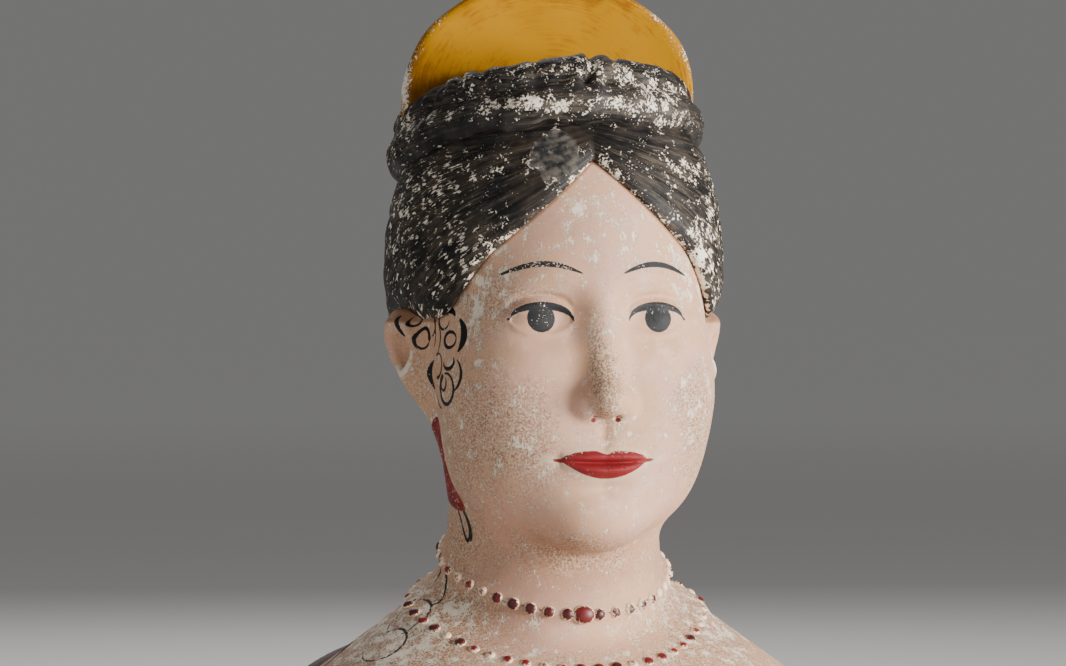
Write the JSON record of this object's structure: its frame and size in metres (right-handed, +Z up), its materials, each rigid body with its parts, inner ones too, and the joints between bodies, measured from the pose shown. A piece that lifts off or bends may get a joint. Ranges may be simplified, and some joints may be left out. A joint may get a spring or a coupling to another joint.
{
  "type": "ship figurehead",
  "caption": "Carved and painted wooden bust of a woman with parted black hair, a twisted coil, a tall yellow comb and red beads, cut flat below.",
  "frame": {"origin": "on the flat underside, on the figure's middle plane, 8 mm behind the middle of the cut", "axes": "+Z up, the bust faces -Y, +X is the figure's left side"},
  "size_m": [0.4022, 0.2345, 0.4909],
  "materials": {
    "painted_wood": "old oil paint on carved wood, dull sheen, flaked and scratched"
  },
  "bodies": {
    "root": {"figurehead": "painted_wood"}
  },
  "joints": []
}
